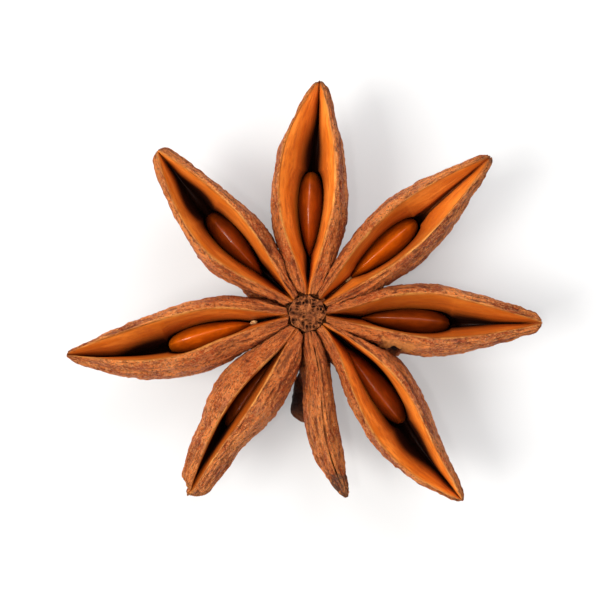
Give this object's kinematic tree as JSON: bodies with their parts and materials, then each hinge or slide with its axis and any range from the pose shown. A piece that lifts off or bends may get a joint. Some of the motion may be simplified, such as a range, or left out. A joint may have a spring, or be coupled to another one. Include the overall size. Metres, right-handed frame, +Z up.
{
  "type": "star anise pod",
  "caption": "Dried star-shaped spice pod lying flat, its open woody follicles holding polished seeds round a short central column, with one slim follicle still shut.",
  "frame": {"origin": "middle of the flat stalk scar under the column, on the level that the pod rests on", "axes": "+Z up out of the open mouths; +X along the pod's longest extent, roughly along the east follicle; +Y towards the north follicle"},
  "size_m": [0.0318, 0.0281, 0.0071],
  "materials": {
    "pericarp": "dry reddish-brown husk, rough and finely wrinkled outside, smooth tan-orange lining inside",
    "seed_coat": "hard amber-brown seed coat with a natural polish"
  },
  "bodies": {
    "root": {"pod": "pericarp", "seed_east": "seed_coat", "seed_north_east": "seed_coat", "seed_north": "seed_coat", "seed_north_west": "seed_coat", "seed_west": "seed_coat", "seed_south_west": "seed_coat", "seed_south_east": "seed_coat"}
  },
  "joints": []
}
